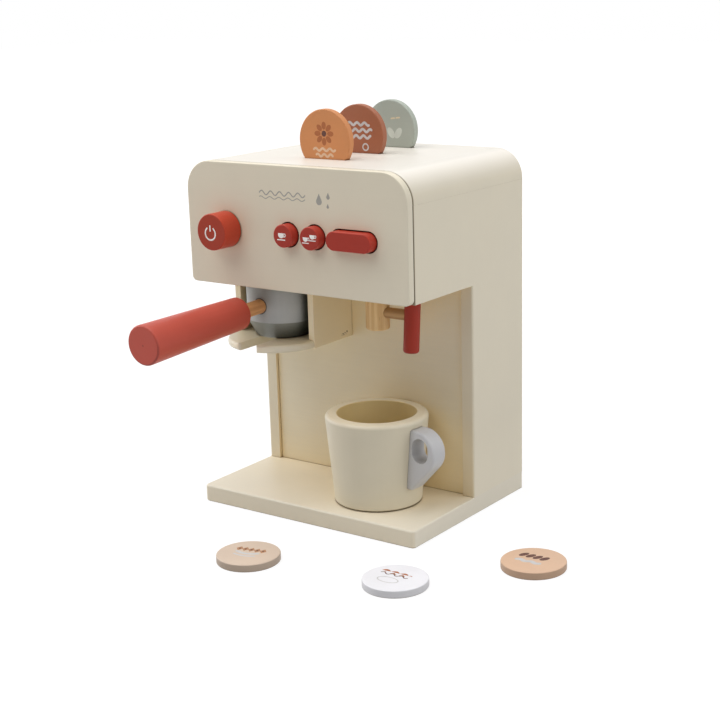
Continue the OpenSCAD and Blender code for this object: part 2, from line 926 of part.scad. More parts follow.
module lever() {
    bore_l = lever_d / 2 + lever_pin_depth + past;
    color(red)
        difference() {
            translate([lever_x, spout_y, lever_pin_z])
                rotate([-lever_tilt, 0, 0])
                    translate([0, 0, -lever_below])
                        turned(
                            lever_d / 2, lever_d / 2, lever_below + lever_above, lever_edge_r,
                            lever_edge_r
                        );
            facing_right(lever_x - lever_d / 2 - past, spout_y, lever_pin_z)
                cylinder(r = lever_pin_r + glue_gap, h = bore_l, $fn = fine);
        }
}

module lever_pin() {
    end_x = lever_x + lever_pin_depth - glue_gap;
    color(pine)
        facing_right(lever_pin_left_x, spout_y, lever_pin_z)
            cylinder(r = lever_pin_r, h = end_x - lever_pin_left_x, $fn = fine);
}

// The mug's outer form as a solid, grown by a gap, to cut the handle's seat
module mug_outside(gap) {
    turned(mug_foot_d / 2 + gap, mug_top_d / 2 + gap, mug_h, mug_foot_r, lip_r);
}

module mug_body() {
    foot_r = mug_foot_d / 2;
    top_r = mug_top_d / 2;
    bore_top_r = top_r - mug_wall_top_t;
    bore_low_r = foot_r - mug_wall_low_t;
    color(cream)
        translate([mug_x, mug_y, mug_z])
            rotate_extrude($fn = fine)
                polygon(concat(
                    [[0, 0]],
                    arc_points([foot_r - mug_foot_r, mug_foot_r], mug_foot_r, -90, 0),
                    arc_points([top_r - lip_r, mug_h - lip_r], lip_r, 0, 90),
                    arc_points(
                        [bore_top_r + mug_bore_lip_r, mug_h - mug_bore_lip_r],
                        mug_bore_lip_r, 90, 180
                    ),
                    arc_points(
                        [bore_low_r - mug_bore_floor_r, mug_floor_t + mug_bore_floor_r],
                        mug_bore_floor_r, 0, -90
                    ),
                    [[0, mug_floor_t]]
                ));
}

// The handle lying on its side: a round outer part, a straight lower flank and a finger hole
module ear() {
    tangent_z = ear_up - ear_r * cos(ear_flank);
    tangent_x = ear_out + ear_r * sin(ear_flank);
    low_x = tangent_x - (tangent_z - ear_low) / tan(ear_flank);
    corner_x = low_x - ear_edge_r * tan(ear_flank / 2);
    low_y = ear_low + ear_edge_r;
    difference() {
        hull() {
            translate([ear_out, ear_up, 0])
                turned(ear_r, ear_r, ear_t, ear_edge_r, ear_edge_r, hull_fine);
            for (p = [[corner_x, low_y], [0, low_y], [0, ear_up + ear_r - ear_edge_r]])
                translate([p[0], p[1], 0])
                    turned(ear_edge_r, ear_edge_r, ear_t, ear_edge_r, ear_edge_r, hull_fine);
        }
        translate([ear_out + finger_beyond, ear_up + finger_above, -past])
            rotate([0, 0, 90])
                linear_extrude(height = ear_t + 2 * past)
                    stadium((finger_h - finger_w) / 2, finger_w / 2);
    }
}

module mug_handle() {
    color(light_grey)
        translate([mug_x, mug_y, mug_z])
            difference() {
                rotate([90, 0, -ear_turn])
                    translate([0, 0, -ear_t / 2])
                        ear();
                mug_outside(glue_gap);
            }
}

module disc() {
    turned(disc_r, disc_r, disc_t, disc_edge_r, disc_edge_r);
}

// A disc that stands in a slot, held by the two upper edges of the slot's ends
module slotted_disc(i) {
    facing_front(slot_x, front_y + first_slot_in + i * slot_pitch + disc_t / 2, slotted_disc_z)
        disc();
}

module orange_disc() {
    color([0.8, 0.52, 0.3])
        slotted_disc(0);
}

module brown_disc() {
    color([0.6, 0.32, 0.22])
        slotted_disc(1);
}

module green_disc() {
    color([0.6, 0.62, 0.57])
        slotted_disc(2);
}

module beige_disc() {
    color([0.86, 0.78, 0.69])
        translate([beige_right, front_y - beige_front, 0])
            disc();
}

module white_disc() {
    color([0.94, 0.94, 0.95])
        translate([white_right, front_y - white_front, 0])
            disc();
}

module peach_disc() {
    color([0.92, 0.76, 0.64])
        translate([body_w / 2 + peach_beside, front_y + peach_in, 0])
            disc();
}

base_board();
left_side_panel();
right_side_panel();
left_corner_moulding();
right_corner_moulding();
top_board();
front_panel();
head_floor_board();
splash_panel();
back_panel();
spring_board();
base_screws();
knob();
knob_dowel();
knob_collar();
one_cup_button();
two_cup_button();
long_button();
one_cup_spring();
two_cup_spring();
long_button_springs();
holder_left_wall();
holder_right_wall();
holder_fork_plate();
holder_brads();
portafilter_cup();
grip_dowel();
portafilter_grip();
hot_water_spout();
lever();
lever_pin();
mug_body();
mug_handle();
orange_disc();
brown_disc();
green_disc();
beige_disc();
white_disc();
peach_disc();
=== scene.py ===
"""Looks of the wooden toy coffee maker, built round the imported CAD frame.

Metres, in the row frame: +Z is up, the front faces -Y and +X is to the right of someone facing
the front. A node's place is in its mesh, and so is a piece's.
"""
import math

import bmesh
import bpy
from mathutils import Matrix, Vector


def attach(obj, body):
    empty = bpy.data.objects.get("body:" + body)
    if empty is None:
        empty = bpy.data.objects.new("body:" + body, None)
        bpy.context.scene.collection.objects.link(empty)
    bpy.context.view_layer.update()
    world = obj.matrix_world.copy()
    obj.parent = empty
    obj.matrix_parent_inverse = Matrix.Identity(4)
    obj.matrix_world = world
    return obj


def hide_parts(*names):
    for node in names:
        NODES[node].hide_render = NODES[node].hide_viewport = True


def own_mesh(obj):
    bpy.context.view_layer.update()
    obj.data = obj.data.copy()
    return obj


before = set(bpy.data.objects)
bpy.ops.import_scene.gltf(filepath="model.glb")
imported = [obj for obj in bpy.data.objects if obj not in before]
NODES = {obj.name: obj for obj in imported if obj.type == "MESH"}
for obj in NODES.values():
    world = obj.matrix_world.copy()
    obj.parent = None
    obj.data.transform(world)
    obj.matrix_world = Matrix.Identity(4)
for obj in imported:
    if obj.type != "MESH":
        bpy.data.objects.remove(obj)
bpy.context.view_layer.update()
SCENE = bpy.context.scene
MM = 0.001


# ---------------------------------------------------------------- camera

IMAGE_SIZE = 720
SENSOR = 36.0
FOCAL_PIXELS = 1475.336
CENTRE_PIXEL = (374.146, 377.968)
YAW, PITCH, ROLL = 35.5747, 15.2907, -1.51317
CAMERA_TARGET = Vector((0.0, 0.0315, 0.150))
CAMERA_OFFSET = Vector((0.0075854, -0.0705961, 1.0204128))
CLIP_RANGE = (0.05, 30.0)


def make_camera():
    """The camera at the photograph's viewing angle."""
    yaw, pitch, roll = (math.radians(a) for a in (YAW, PITCH, ROLL))
    forward = Vector((
        -math.sin(yaw) * math.cos(pitch),
        math.cos(yaw) * math.cos(pitch),
        -math.sin(pitch),
    ))
    right = Vector((math.cos(yaw), math.sin(yaw), 0.0))
    down = forward.cross(right)
    turned_right = right * math.cos(roll) - down * math.sin(roll)
    turned_down = right * math.sin(roll) + down * math.cos(roll)
    place = (
        CAMERA_TARGET
        - turned_right * CAMERA_OFFSET.x
        - turned_down * CAMERA_OFFSET.y
        - forward * CAMERA_OFFSET.z
    )
    data = bpy.data.cameras.new("studio_camera")
    data.sensor_width = SENSOR
    data.lens = FOCAL_PIXELS * SENSOR / IMAGE_SIZE
    data.shift_x = (IMAGE_SIZE / 2 - CENTRE_PIXEL[0]) / IMAGE_SIZE
    data.shift_y = (CENTRE_PIXEL[1] - IMAGE_SIZE / 2) / IMAGE_SIZE
    data.clip_start, data.clip_end = CLIP_RANGE
    camera = bpy.data.objects.new("studio_camera", data)
    SCENE.collection.objects.link(camera)
    axes = Matrix((turned_right, -turned_down, -forward)).transposed()
    camera.matrix_world = Matrix.Translation(place) @ axes.to_4x4()
    SCENE.camera = camera


# ---------------------------------------------------------------- node trees

class Graph:
    """A material's or world's node tree, with short calls for the nodes that repeat."""

    def __init__(self, owner):
        self.owner = owner
        owner.use_nodes = True
        self.tree = owner.node_tree
        self.tree.nodes.clear()

    def add(self, kind, inputs=None, **settings):
        """A new node. An input is a socket to link or a constant for the node's own socket."""
        node = self.tree.nodes.new(kind)
        for key, value in settings.items():
            setattr(node, key, value)
        for key, value in (inputs or {}).items():
            if isinstance(value, bpy.types.NodeSocket):
                self.tree.links.new(value, node.inputs[key])
            else:
                node.inputs[key].default_value = value
        return node

    def finish(self, shader, output="ShaderNodeOutputMaterial"):
        self.add(output, {"Surface": shader})
        return self.owner

    # Numbers and vectors

    def math(self, operation, first, second=0.0):
        return self.add("ShaderNodeMath", {0: first, 1: second}, operation=operation).outputs[0]

    def vector(self, operation, first, second=(0, 0, 0)):
        node = self.add("ShaderNodeVectorMath", {0: first, 1: second}, operation=operation)
        gives_number = operation in ("LENGTH", "DOT_PRODUCT")
        return node.outputs["Value" if gives_number else "Vector"]

    def part(self, vector, axis):
        """One axis of a vector."""
        return self.add("ShaderNodeSeparateXYZ", {0: vector}).outputs[axis]

    def across(self, vector):
        """The length of a vector's X and Y parts: the distance from the Z axis."""
        return self.vector("LENGTH", self.vector("MULTIPLY", vector, (1, 1, 0)))

    def spread(self, value, from_low, from_high, to_low=0.0, to_high=1.0, smooth=False):
        """Takes one range to another, and stops at its ends."""
        return self.add("ShaderNodeMapRange", {
            "Value": value, "From Min": from_low, "From Max": from_high,
            "To Min": to_low, "To Max": to_high,
        }, interpolation_type="SMOOTHSTEP" if smooth else "LINEAR").outputs[0]

    # Places, directions and textures

    def place(self):
        return self.add("ShaderNodeTexCoord").outputs["Object"]

    def normal(self):
        return self.add("ShaderNodeNewGeometry").outputs["Normal"]

    def facing(self, axis):
        """How far a surface faces along an axis, from -1 to 1."""
        return self.part(self.normal(), axis)

    def stretched(self, vector, scale, location=(0, 0, 0), rotation=(0, 0, 0)):
        return self.add("ShaderNodeMapping", {
            "Vector": vector, "Scale": scale, "Location": location, "Rotation": rotation,
        }).outputs[0]

    def on_axis(self, origin, turn):
        """Distance from a turned piece's axis, and the way along it. Local Z is the axis."""
        about = self.add("ShaderNodeMapping", {
            "Vector": self.place(), "Location": origin, "Rotation": (turn, 0, 0),
        }, vector_type="TEXTURE").outputs[0]
        return self.across(about), self.part(about, "Z")

    def noise(self, vector, scale, detail=2.0, roughness=0.5):
        return self.add("ShaderNodeTexNoise", {
            "Vector": vector, "Scale": scale, "Detail": detail, "Roughness": roughness,
        }).outputs["Fac"]

    def openness(self, reach, samples):
        """1 in the open, less where other surfaces stand within reach."""
        return self.add(
            "ShaderNodeAmbientOcclusion", {"Distance": reach}, samples=samples
        ).outputs["AO"]

    # Colours and bumps

    def blend(self, factor, first, second, kind="MIX"):
        return self.add(
            "ShaderNodeMix", {0: factor, 6: first, 7: second}, data_type="RGBA", blend_type=kind
        ).outputs[2]

    def tinted(self, factor, tone, tint):
        """The tone, multiplied by the tint as far as the factor says."""
        return self.blend(factor, tone, tint, "MULTIPLY")

    def bump(self, height, strength, distance, normal=None):
        inputs = {"Height": height, "Strength": strength, "Distance": distance}
        if normal is not None:
            inputs["Normal"] = normal
        return self.add("ShaderNodeBump", inputs).outputs[0]

    # Masks, from 0 to 1

    def edges(self, radius):
        """0 on flat surfaces, rising to 1 along sharp edges."""
        rounded = self.add(
            "ShaderNodeBevel", {"Radius": radius}, samples=EDGE_SAMPLES
        ).outputs[0]
        likeness = self.vector("DOT_PRODUCT", rounded, self.normal())
        return self.spread(likeness, 0.995, 0.86, smooth=True)

    def specks(self, vector):
        """Small dots in a few of a Voronoi texture's cells."""
        cells = self.add("ShaderNodeTexVoronoi", {"Vector": vector, "Scale": SPECK_SCALE})
        chosen = self.spread(cells.outputs["Color"], 0.955, 0.957)
        return self.math("MULTIPLY", self.spread(cells.outputs["Distance"], 0.16, 0.08), chosen)

    def joint_line(self):
        """1 where the front panel's back meets the housing, less where that faces the sky."""
        ahead = self.math("SUBTRACT", self.part(self.place(), "Y"), PANEL_BACK_Y)
        away = self.math("ABSOLUTE", ahead)
        line = self.spread(away, JOINT_HALF, JOINT_HALF * 0.45, smooth=True)
        return self.math("MULTIPLY", line, self.spread(self.facing("Z"), 0.35, 0.98, 1.0, 0.3))

    def shoulder(self):
        """1 along the upper part of a long rounded edge, 0 on its side and little on top."""
        up = self.facing("Z")
        return self.math(
            "MULTIPLY", self.spread(up, 0.42, 0.86), self.spread(up, 1.0, 0.94, 0.1, 1.0)
        )

    def end_marks(self, origin, turn, length, radius):
        """The darker rim and the lathe's centre mark on the end of a turned piece."""
        away, along = self.on_axis(origin, turn)
        rim = self.spread(away, radius - 0.0014, radius - 0.0007, 0.0, 0.6, smooth=True)
        rim = self.math("MULTIPLY", rim, self.spread(self.facing("Z"), 0.0, 0.45, 1.0, 0.0))
        centre = self.spread(away, 0.0009, 0.0004, 0.0, 0.6, smooth=True)
        at_end = self.spread(along, length - 0.0012, length - 0.0005, smooth=True)
        return self.math("MULTIPLY", self.math("MAXIMUM", rim, centre), at_end)

    def bore_wall(self, axis):
        """1 on the wall of a bore with the given upright axis, 0 on its rim and outside."""
        away = self.vector("SUBTRACT", self.place(), (axis[0], axis[1], 0))
        outward = self.vector("NORMALIZE", self.vector("MULTIPLY", away, (1, 1, 0)))
        facing = self.vector("DOT_PRODUCT", outward, self.normal())
        return self.spread(facing, -0.40, -0.85, smooth=True)

    def hole_ring(self, origin, turn, radius):
        """A narrow ring round a dowel along local Z, in front of its origin."""
        away, along = self.on_axis(origin, turn)
        ring = self.spread(away, radius + 0.0011, radius + 0.0003, smooth=True)
        return self.math("MULTIPLY", ring, self.spread(along, 0.004, 0.008))

    def seen(self):
        """1 for rays from the camera, also by way of a reflection or a clear piece."""
        path = self.add("ShaderNodeLightPath").outputs
        direct = self.math("MAXIMUM", path["Is Camera Ray"], path["Is Glossy Ray"])
        return self.math("MAXIMUM", direct, path["Is Transmission Ray"])


# ---------------------------------------------------------------- colours

def linear(red, green, blue):
    """A colour written in sRGB from 0 to 255, as a linear RGBA."""
    def one(value):
        share = value / 255
        return share / 12.92 if share <= 0.04045 else ((share + 0.055) / 1.055) ** 2.4
    return (one(red), one(green), one(blue), 1.0)


def scaled(colour, factor):
    return tuple(min(1.0, c * factor) for c in colour[:3]) + (1.0,)


CREAM = linear(226, 217, 196)
# The paler creams are painted light: BASE_, HOLDER_ and BAY_CREAM on those boards, TOP_LIT_CREAM
# on what faces up and MUG_RIM_LIT_CREAM on the mug's rim.
BASE_CREAM = linear(232, 224, 206)
HOLDER_CREAM = linear(231, 223, 202)
BAY_CREAM = linear(237, 228, 205)
MUG_CREAM = linear(219, 210, 187)
MUG_RIM_LIT_CREAM = linear(240, 229, 204)
TOP_LIT_CREAM = linear(229, 225, 218)
KNOB_RED = linear(190, 68, 44)
BUTTON_RED = linear(186, 60, 45)
GRIP_RED = linear(187, 76, 60)
# LEVER_RED is darker than the other reds, partly as painted shade under the head.
LEVER_RED = linear(160, 50, 34)
PINE_PALE, PINE_DARK = linear(226, 168, 114), linear(188, 126, 78)

# Tints multiply a colour. All but END_TINT stand in for light and shade: painted shade in
# recesses, crevices, joints, bores and holes and on sides, fronts and undersides, and
# painted light on lit fronts, shoulders and feet.
RECESS_SHADE_TINT = (1.16, 1.03, 0.80, 1.0)
BAY_SHADE_TINT = (1.14, 1.01, 0.76, 1.0)
FORK_SHADE_TINT = (1.00, 0.97, 0.86, 1.0)
BORE_SHADE_TINT = (1.00, 0.87, 0.56, 1.0)
CUP_SHADE_TINT = (0.15, 0.16, 0.14, 1.0)
CREVICE_SHADE_TINT = (0.34, 0.28, 0.20, 1.0)
JOINT_SHADE_TINT = (0.30, 0.26, 0.19, 1.0)
FACE_SHADE_TINT = (0.66, 0.65, 0.64, 1.0)
FRONT_LIT_TINT = (1.29, 1.28, 1.25, 1.0)
END_TINT = (0.42, 0.40, 0.42, 1.0)
UNDER_SHADE_TINT = (0.70, 0.70, 0.64, 1.0)
HOLE_SHADE_TINT = (0.22, 0.18, 0.14, 1.0)
PAINTED_LIGHT_TINT = (1.17, 1.17, 1.18, 1.0)


# ---------------------------------------------------------------- materials

# Places on the object that a material depends on, in metres.
PANEL_BACK_Y = -0.0625
OUTER_X = 0.0873
FOOT_HEIGHT = 0.055
GRIP_ORIGIN = Vector((-0.045, -0.0265, 0.1404))
GRIP_TURN = math.radians(91.4)
DOWEL_RADIUS = 0.0048
MUG_AXIS = (0.0322, -0.0279)
JOINT_HALF = 0.0010
OUTER_EDGE = 0.0004
WORN_HIGHLIT_EDGE = 0.0007

# Samples of the nodes that look round a point.
EDGE_SAMPLES = 6
RECESS_SAMPLES = 4
CREVICE_SAMPLES = 8

# Scales of the noise in paint. Fibres are stretched along a board's grain.
CLOUD_SCALE = 26.0
BLOTCH_SCALE = 120.0
PEEL_SCALE = 1500.0
SPECK_SCALE = 210.0
GRAIN_X = (22, 420, 420)
GRAIN_Y = (420, 22, 420)
GRAIN_Z = (420, 420, 22)

# How far the painted shade in recesses and crevices reaches, and the openness at which it starts
# and is full.
RECESS_REACH = 0.12
CUP_REACH = 0.022
CREVICE_REACH = 0.002
HANDLE_REACH = 0.012
RECESS_SPAN = (0.80, 0.25)
BAY_SPAN = (0.62, 0.24)
CREVICE_SPAN = (0.68, 0.40)
HANDLE_SPAN = (0.80, 0.45)

# Which way a surface faces where a painted light or shade starts and where it is full.
FACES_UP = (0.25, 0.95)
FACES_DOWN = (-0.20, -0.38)
FACES_SIDEWAYS = (0.75, 0.35)
FACES_FRONT = (-0.80, -0.98)


def painted(
    name, colour, grain, roughness=0.42, gloss_level=0.42, fibre=1.0, cloudy=1.0, wear_and_highlight=0.35,
    specks=0.25, recess_shading=0.0, recess_shade_tint=RECESS_SHADE_TINT, recess_reach=RECESS_REACH,
    recess_span=RECESS_SPAN, outer_x=None, foot_light=0.0, top_light=0.0, top_light_tint=TOP_LIT_CREAM,
    crevice=0.0, reach=CREVICE_REACH, crevice_span=CREVICE_SPAN, joint=0.0, side_shade=0.0,
    front_shading=0.0, front_shading_tint=FACE_SHADE_TINT, under_shade=0.0, shoulder_highlight=0.0, turned_end=None,
    bore=None, pierced=None
):
    """Satin paint on wood. grain holds the stretch of the fibres that show through.

    cloudy is the strength of the soft blotches. wear_and_highlight pales sharp edges, as
    rubbed paint and as a painted highlight. recess_shading paints shade into recesses, warm
    where pale paint lights itself. outer_x is the x beyond which nothing is a recess, and
    foot_light pales the paint there towards the foot, as painted light. top_light pales
    what faces up, as painted light from above. crevice paints shade into the joints between
    boards and other crevices, over the given reach, and joint paints shade into the line
    where the front panel meets the housing, less where light falls in from above.
    side_shade paints shade on what faces sideways. front_shading tints what faces the
    front: painted shade with the default tint, painted light with a paler one. under_shade
    paints shade on what faces down, and shoulder_highlight pales the shoulder of a long
    rounded edge as a painted highlight. turned_end holds the origin, turn, length and
    radius of a turned piece whose end is marked, bore the upright axis of a bore whose wall
    gets painted shade, and pierced the origin, turn and radius of a dowel whose hole shows
    as a dark ring of painted shade.
    """
    g = Graph(bpy.data.materials.new(name))
    place = g.place()
    cloud = g.noise(place, CLOUD_SCALE, 4.0, 0.55)
    fibres = g.noise(g.stretched(place, grain), 1.0, 4.0, 0.62)
    peel = g.noise(place, PEEL_SCALE)
    blotch = g.noise(place, BLOTCH_SCALE, 3.0, 0.6)

    tone = g.blend(
        g.spread(cloud, 0.32, 0.68),
        scaled(colour, 1 - 0.045 * cloudy), scaled(colour, 1 + 0.035 * cloudy),
    )
    tone = g.blend(
        g.spread(fibres, 0.35, 0.75, 0.0, 0.05 * fibre), tone, scaled(colour, 0.62)
    )
    tone = g.blend(g.math("MULTIPLY", g.specks(place), specks), tone, scaled(colour, 0.42))
    # Paler sharp edges: rubbed paint, and a painted highlight along them.
    worn_and_highlit = g.math("MULTIPLY", g.edges(WORN_HIGHLIT_EDGE), g.spread(blotch, 0.38, 0.62, 0.1, 1.0))
    tone = g.blend(g.math("MULTIPLY", worn_and_highlit, wear_and_highlight), tone, scaled(colour, 1.13))
    # Painted shade in recesses, warm where pale paint lights itself.
    if recess_shading > 0:
        shade_depth = g.spread(g.openness(recess_reach, RECESS_SAMPLES), *recess_span, 0.0, recess_shading)
        if outer_x is not None:
            away = g.math("ABSOLUTE", g.part(place, "X"))
            outer = g.spread(away, outer_x - OUTER_EDGE, outer_x)
            shade_depth = g.math("MULTIPLY", shade_depth, g.math("SUBTRACT", 1.0, outer))
            # Painted light on the outer sides, towards the foot.
            low = g.spread(g.part(place, "Z"), FOOT_HEIGHT, 0.0, 0.0, foot_light)
            tone = g.tinted(g.math("MULTIPLY", outer, low), tone, PAINTED_LIGHT_TINT)
        tone = g.tinted(shade_depth, tone, recess_shade_tint)
    # Painted light from above on what faces up.
    if top_light > 0:
        tone = g.blend(g.spread(g.facing("Z"), *FACES_UP, 0.0, top_light), tone, top_light_tint)
    # Painted shade in crevices and joints.
    if crevice > 0:
        crevice_shade = g.spread(g.openness(reach, CREVICE_SAMPLES), *crevice_span, 0.0, crevice)
        tone = g.tinted(crevice_shade, tone, CREVICE_SHADE_TINT)
    # Painted shade along the front panel's joint.
    if joint > 0:
        tone = g.tinted(g.math("MULTIPLY", g.joint_line(), joint), tone, JOINT_SHADE_TINT)
    # Painted shade on what faces sideways.
    if side_shade > 0:
        level = g.math("ABSOLUTE", g.facing("Z"))
        tone = g.tinted(g.spread(level, *FACES_SIDEWAYS, 0.0, side_shade), tone, FACE_SHADE_TINT)
    # Painted shade on what faces the front; painted light where the tint is paler.
    if front_shading > 0:
        tone = g.tinted(g.spread(g.facing("Y"), *FACES_FRONT, 0.0, front_shading), tone, front_shading_tint)
    # Painted shade on what faces down.
    if under_shade > 0:
        tone = g.tinted(g.spread(g.facing("Z"), *FACES_DOWN, 0.0, under_shade), tone, UNDER_SHADE_TINT)
    # A painted highlight on the shoulder of a rounded edge.
    if shoulder_highlight > 0:
        tone = g.tinted(g.math("MULTIPLY", g.shoulder(), shoulder_highlight), tone, PAINTED_LIGHT_TINT)
    if turned_end is not None:
        tone = g.tinted(g.end_marks(*turned_end), tone, END_TINT)
    # Painted shade on a bore's wall.
    if bore is not None:
        tone = g.tinted(g.bore_wall(bore), tone, BORE_SHADE_TINT)
    # Painted shade in the gap round a dowel.
    if pierced is not None:
        tone = g.tinted(g.hole_ring(*pierced), tone, HOLE_SHADE_TINT)

    gloss = g.spread(cloud, 0.3, 0.7, roughness - 0.05, roughness + 0.06)
    gloss = g.math("ADD", gloss, g.spread(blotch, 0.3, 0.7, -0.03, 0.03))
    normal = g.bump(peel, 0.10, 0.00012)
    normal = g.bump(fibres, 0.10 * fibre, 0.0004, normal)
    normal = g.bump(blotch, 0.05, 0.0004, normal)
    shader = g.add("ShaderNodeBsdfPrincipled", {
        "Base Color": tone, "Roughness": gloss, "Normal": normal,
        "Specular IOR Level": gloss_level,
    })
    return g.finish(shader.outputs[0])


def bare_wood(name, pale, dark, centre, turn, rings=230.0, roughness=0.5):
    """Bare sanded wood. Its rings lie round local Z once centre and turn are applied."""
    g = Graph(bpy.data.materials.new(name))
    about = g.stretched(g.place(), (1, 1, 1), centre, turn)
    wander = g.noise(g.stretched(about, (60, 60, 9)), 1.0, 3.0, 0.55)
    ring = g.math("MULTIPLY", g.across(about), rings * 2 * math.pi)
    ring = g.math("SINE", g.math("ADD", ring, g.spread(wander, 0.0, 1.0, 0.0, 9.0)))
    fibres = g.noise(g.stretched(about, (2600, 2600, 70)), 1.0, 3.0, 0.65)
    pores = g.noise(g.stretched(about, (1500, 1500, 160)), 1.0)
    cloud = g.noise(about, 70.0, 3.0)

    tone = g.blend(g.spread(ring, -1.0, 1.0, 0.0, 0.55, smooth=True), pale, dark)
    tone = g.blend(g.spread(fibres, 0.4, 0.75, 0.0, 0.4), tone, scaled(dark, 0.72))
    tone = g.blend(g.spread(pores, 0.66, 0.72, 0.0, 0.55), tone, scaled(dark, 0.42))
    tone = g.blend(g.spread(cloud, 0.3, 0.7, 0.0, 0.22), tone, scaled(pale, 1.12))
    normal = g.bump(pores, 0.15, 0.0001, g.bump(fibres, 0.22, 0.0002))
    shader = g.add("ShaderNodeBsdfPrincipled", {
        "Base Color": tone, "Normal": normal, "Specular IOR Level": 0.35,
        "Roughness": g.spread(fibres, 0.3, 0.7, roughness - 0.07, roughness + 0.1),
    })
    return g.finish(shader.outputs[0])


def metal(name, colour, roughness, streak):
    """Plain or plated metal with fine lines, stretched by streak."""
    g = Graph(bpy.data.materials.new(name))
    place = g.place()
    lines = g.noise(g.stretched(place, streak), 1.0, 3.0, 0.6)
    cloud = g.noise(place, 300.0, 3.0)
    tone = g.blend(g.spread(cloud, 0.3, 0.7), scaled(colour, 0.82), scaled(colour, 1.1))
    shader = g.add("ShaderNodeBsdfPrincipled", {
        "Base Color": tone, "Metallic": 1.0, "Normal": g.bump(lines, 0.15, 0.00005),
        "Roughness": g.spread(lines, 0.3, 0.7, roughness - 0.08, roughness + 0.12),
    })
    return g.finish(shader.outputs[0])


def printed(name, colour):
    """Pad-printed ink with a slightly uneven cover."""
    g = Graph(bpy.data.materials.new(name))
    place = g.place()
    cover = g.noise(place, 900.0, 3.0, 0.6)
    cloud = g.noise(place, 160.0)
    tone = g.blend(g.spread(cloud, 0.3, 0.7), scaled(colour, 0.93), scaled(colour, 1.05))
    tone = g.blend(g.spread(cover, 0.55, 0.75, 0.0, 0.18), tone, scaled(colour, 0.75))
    shader = g.add("ShaderNodeBsdfPrincipled", {
        "Base Color": tone, "Normal": g.bump(cover, 0.06, 0.00005),
        "Roughness": g.spread(cover, 0.3, 0.7, 0.45, 0.58), "Specular IOR Level": 0.35,
    })
    return g.finish(shader.outputs[0])


def turned_size(node, origin, turn):
    """Length and radius of a turned CAD node, from an origin on its axis."""
    to_local = Matrix.Rotation(-turn, 3, "X")
    points = [to_local @ (vert.co - origin) for vert in NODES[node].data.vertices]
    return max(p.z for p in points), max(p.to_2d().length for p in points)


CREAM_X = painted(
    "cream_paint_grain_x", CREAM, GRAIN_X, fibre=0.6, recess_shading=0.8, crevice=0.8, cloudy=0.5
)
CREAM_Z = painted(
    "cream_paint_grain_z", CREAM, GRAIN_Z, fibre=0.4, recess_shading=0.8, crevice=0.8, cloudy=0.35,
    joint=0.85, outer_x=OUTER_X, foot_light=0.65
)
CREAM_PANEL = painted(
    "cream_paint_panel", CREAM, GRAIN_X, fibre=0.5, recess_shading=0.5, crevice=1.0, cloudy=0.4,
    joint=0.85, shoulder_highlight=1.0
)
CREAM_TOP = painted(
    "cream_paint_top", CREAM, GRAIN_Y, fibre=0.4, recess_shading=0.5, crevice=0.8, top_light=0.8,
    cloudy=0.4, joint=0.85, shoulder_highlight=1.0
)
CREAM_BASE = painted(
    "cream_paint_base", BASE_CREAM, GRAIN_X, fibre=0.6, wear_and_highlight=0.0, recess_shading=0.5, crevice=0.8,
    cloudy=0.5, outer_x=OUTER_X, foot_light=0.1
)
CREAM_BAY = painted(
    "cream_paint_bay", BAY_CREAM, GRAIN_X, fibre=1.2, recess_shading=1.0, crevice=0.45, cloudy=0.5,
    recess_shade_tint=BAY_SHADE_TINT, recess_span=BAY_SPAN
)
CREAM_HOLDER = painted(
    "cream_paint_holder", HOLDER_CREAM, GRAIN_Y, fibre=0.6, recess_shading=0.8, crevice=0.8, cloudy=0.5,
    front_shading=1.0, front_shading_tint=FRONT_LIT_TINT, recess_shade_tint=BAY_SHADE_TINT
)
CREAM_FORK = painted(
    "cream_paint_fork", CREAM, GRAIN_Y, fibre=0.6, recess_shading=0.8, crevice=0.8, cloudy=0.5,
    front_shading=1.0, front_shading_tint=FRONT_LIT_TINT, recess_shade_tint=FORK_SHADE_TINT
)
CREAM_MUG = painted(
    "cream_paint_mug", MUG_CREAM, GRAIN_Z, roughness=0.38, fibre=0.4, crevice=0.7,
    cloudy=0.5, top_light=0.9, top_light_tint=MUG_RIM_LIT_CREAM, bore=MUG_AXIS
)
KNOB_PAINT = painted(
    "red_paint_knob", KNOB_RED, GRAIN_Y, roughness=0.36, wear_and_highlight=0.3, specks=0.1,
    crevice=0.7, gloss_level=0.22, front_shading=0.8
)
BUTTON_PAINT = painted(
    "red_paint_button", BUTTON_RED, GRAIN_Y, roughness=0.34, wear_and_highlight=0.3, specks=0.1,
    crevice=0.8, gloss_level=0.22, front_shading=0.6
)
GRIP_PAINT = painted(
    "red_paint_grip", GRIP_RED, GRAIN_Y, roughness=0.42, wear_and_highlight=0.45, specks=0.15,
    crevice=0.5, gloss_level=0.4,
    turned_end=(GRIP_ORIGIN, GRIP_TURN, *turned_size("portafilter_grip", GRIP_ORIGIN, GRIP_TURN)),
)
LEVER_PAINT = painted(
    "red_paint_lever", LEVER_RED, GRAIN_Z, roughness=0.4, wear_and_highlight=0.3, specks=0.1,
    crevice=0.6, gloss_level=0.22
)
CUP_GREY = painted(
    "grey_paint", linear(187, 190, 190), GRAIN_Z, fibre=2.2, crevice=0.8, recess_shading=1.0,
    recess_shade_tint=CUP_SHADE_TINT, recess_reach=CUP_REACH, under_shade=1.0,
    pierced=(GRIP_ORIGIN, GRIP_TURN, DOWEL_RADIUS)
)
HANDLE_GREY = painted(
    "light_grey_paint", linear(200, 200, 202), GRAIN_Z, roughness=0.4, crevice=0.9,
    reach=HANDLE_REACH, crevice_span=HANDLE_SPAN, cloudy=0.5
)
ORANGE = painted("orange_paint", linear(208, 138, 86), GRAIN_X, roughness=0.5, crevice=0.8)
BROWN = painted("brown_paint", linear(164, 100, 70), GRAIN_X, roughness=0.5, crevice=0.8)
